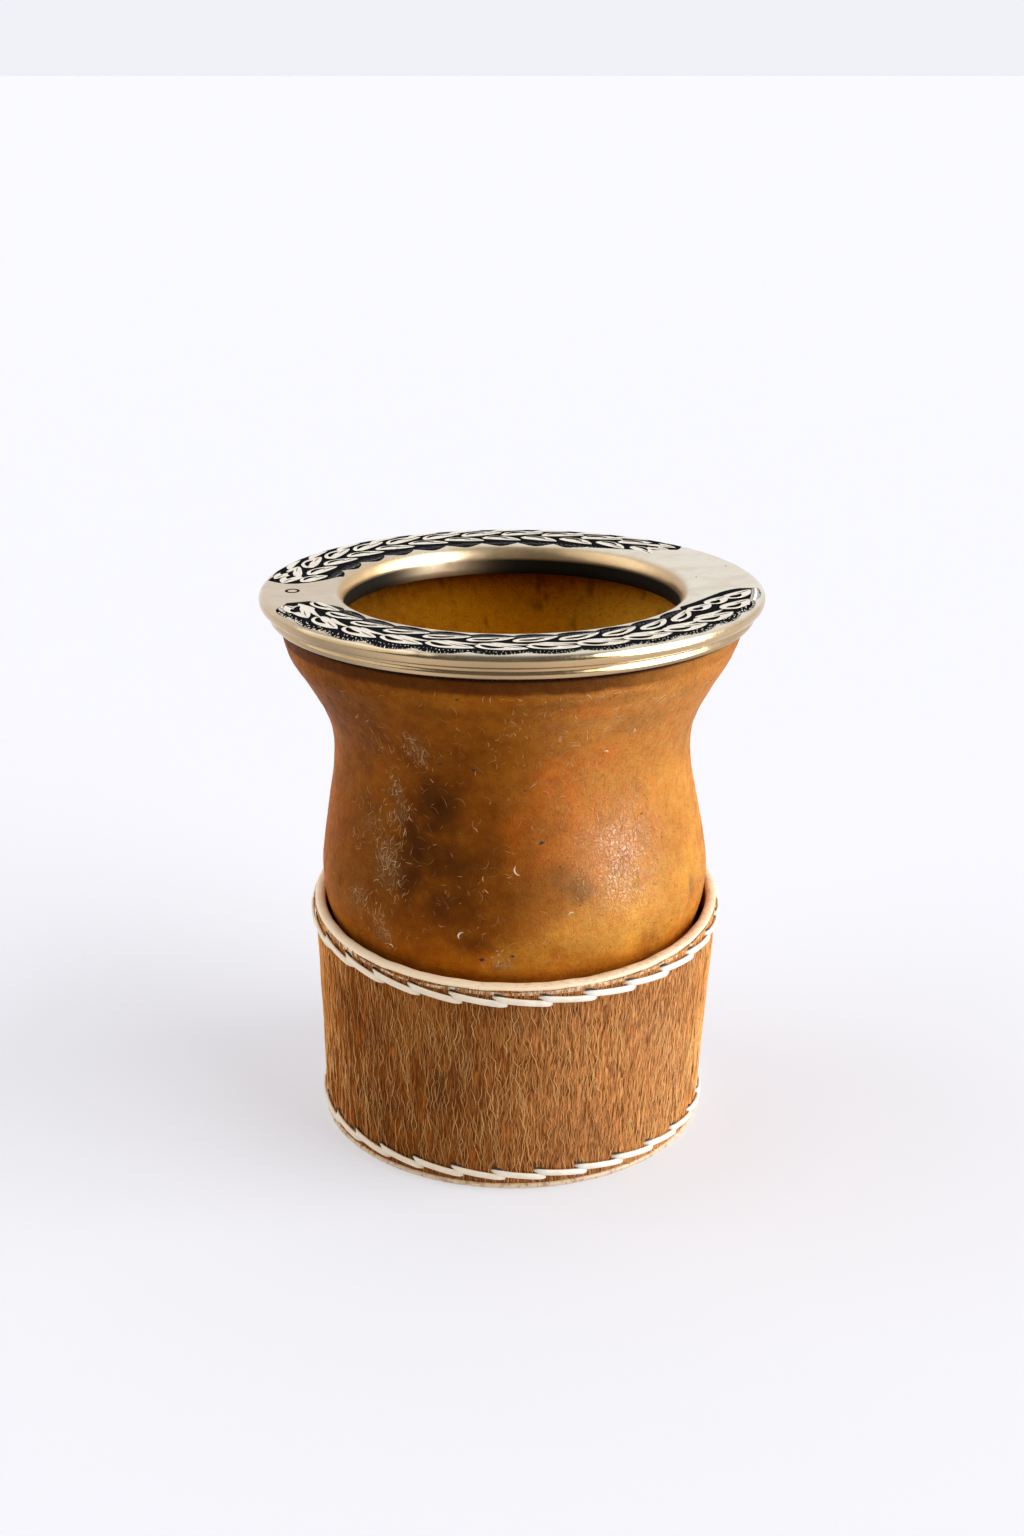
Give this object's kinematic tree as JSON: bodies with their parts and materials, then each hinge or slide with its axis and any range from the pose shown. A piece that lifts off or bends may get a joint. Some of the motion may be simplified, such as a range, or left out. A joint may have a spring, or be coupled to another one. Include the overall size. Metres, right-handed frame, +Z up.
{
  "type": "mate gourd cup",
  "caption": "Empty drinking cup: a hollow dried gourd with a flared mouth, a broad carved metal rim and a laced hair-on hide sleeve that stands it upright.",
  "frame": {"origin": "on the ground under the middle of the base", "axes": "+Z up along the cup's axis, -Y towards the front shown in the picture"},
  "size_m": [0.095, 0.095, 0.1077],
  "materials": {
    "gourd_shell": "cured dried gourd skin, orange-brown, mottled and satin-glossy",
    "rim_metal": "polished warm nickel silver with blackened recesses",
    "hide": "short hair-on cowhide, brown with fair strands, tan cut edge",
    "base_hide": "tan sole leather",
    "rawhide": "smooth off-white rawhide strip"
  },
  "bodies": {
    "root": {"gourd": "gourd_shell", "rim": "rim_metal", "hide_sleeve": "hide", "base_disc": "base_hide", "lace_top": "rawhide", "lace_bottom": "rawhide"}
  },
  "joints": []
}
